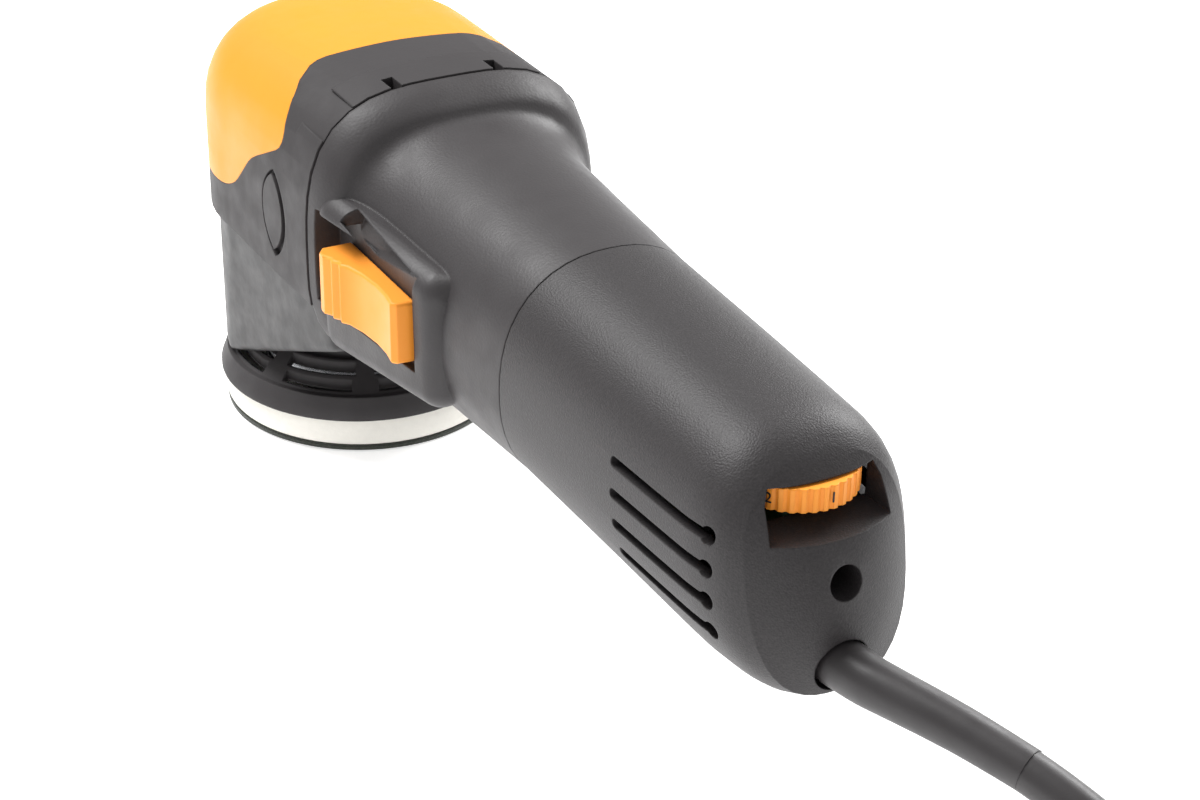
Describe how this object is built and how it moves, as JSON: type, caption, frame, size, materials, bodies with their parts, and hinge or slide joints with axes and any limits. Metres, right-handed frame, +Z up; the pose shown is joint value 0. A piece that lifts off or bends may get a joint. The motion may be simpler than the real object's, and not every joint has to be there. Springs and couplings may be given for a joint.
{
  "type": "dual action polisher",
  "caption": "Mains powered dual action polisher: head with an orbiting foam pad, slim motor grip with slide switch, speed dial and a hank of cord with plug.",
  "frame": {"origin": "on the drive spindle's axis, in the plane of the foam pad's working face", "axes": "+Z up along the drive spindle, +Y towards the head's nose, -Y towards the cord, +X to the tool's right (the slide switch is on the left, -X)"},
  "size_m": [0.0844, 0.6384, 0.1174],
  "materials": {
    "cap_amber": "satin",
    "rubber_black": "soft matte",
    "housing_black": "fine grain",
    "cast_aluminium": "die cast",
    "casting_black": "smooth matt paint",
    "steel": "bright",
    "dark_plastic": "moulded",
    "copper": "enamelled wire",
    "laminations": "stacked sheet",
    "brass": "stamped",
    "carbon": "pressed carbon",
    "felt": "felt",
    "board": "circuit board",
    "orange": "satin",
    "cord_rubber": "rubber sheath",
    "foam": "foam",
    "hook": "hook and loop",
    "plate_black": "glass filled"
  },
  "bodies": {
    "tool": {"head_cap": "cap_amber", "head_cover": "rubber_black", "gear_housing": "cast_aluminium", "pinion_plate": "cast_aluminium", "bearing_housing": "casting_black", "casting_screws": "steel", "flange_screws": "steel", "shroud": "rubber_black", "shroud_screws": "steel", "spindle_top_bearing": "steel", "spindle_bearing": "steel", "bearing_retainer": "steel", "retainer_screws": "steel", "felt_seal": "felt", "pinion_bearing": "steel", "motor_housing": "housing_black", "stator_core": "laminations", "stator_coils": "copper", "air_baffle": "dark_plastic", "rear_bearing": "steel", "bearing_bush": "cord_rubber", "brush_holders": "brass", "carbon_brushes": "carbon", "brush_springs": "steel", "switch_body": "dark_plastic", "rear_cover": "housing_black", "cover_screw": "steel", "cord_clamp": "dark_plastic", "clamp_screws": "steel", "speed_board": "board", "cord_guard": "cord_rubber", "mains_cord": "cord_rubber", "cord_tail": "cord_rubber", "cord_hank": "cord_rubber", "hank_ties": "dark_plastic", "plug": "cord_rubber", "plug_pins": "brass"},
    "armature": {"armature_shaft": "steel", "armature_core": "laminations", "armature_windings": "copper", "commutator": "copper", "cooling_fan": "dark_plastic", "pinion": "steel"},
    "spindle": {"spindle": "steel", "crown_gear": "steel", "counterweight": "steel", "plate_bearings": "steel"},
    "plate": {"plate_bolt": "steel", "backing_plate": "plate_black", "foam_pad": "foam", "hook_disc": "hook"},
    "slider": {"switch_slider": "orange", "switch_rod": "dark_plastic"},
    "dial": {"speed_dial": "orange"}
  },
  "joints": [
    {"name": "spindle_spin", "type": "hinge", "parent": "tool", "child": "spindle", "pos_m": [0, 0, 0.04], "axis": [0, 0, 1], "continuous": true},
    {"name": "armature_spin", "type": "hinge", "parent": "tool", "child": "armature", "pos_m": [0, -0.1, 0.0753], "axis": [0, 1, 0], "continuous": true},
    {"name": "plate_spin", "type": "hinge", "parent": "spindle", "child": "plate", "pos_m": [0.00225, 0.0039, 0.02], "axis": [0, 0, 1], "continuous": true},
    {"name": "switch_slide", "type": "slide", "parent": "tool", "child": "slider", "axis": [0, 1, 0], "range_m": [0, 0.006]},
    {"name": "dial_turn", "type": "hinge", "parent": "tool", "child": "dial", "pos_m": [0, -0.2205, 0.0866], "axis": [0, 0, 1], "range_deg": [0, 270]}
  ],
  "couplings": [
    {"joint": "armature_spin", "follows": "spindle_spin", "ratio": -4.1111}
  ]
}
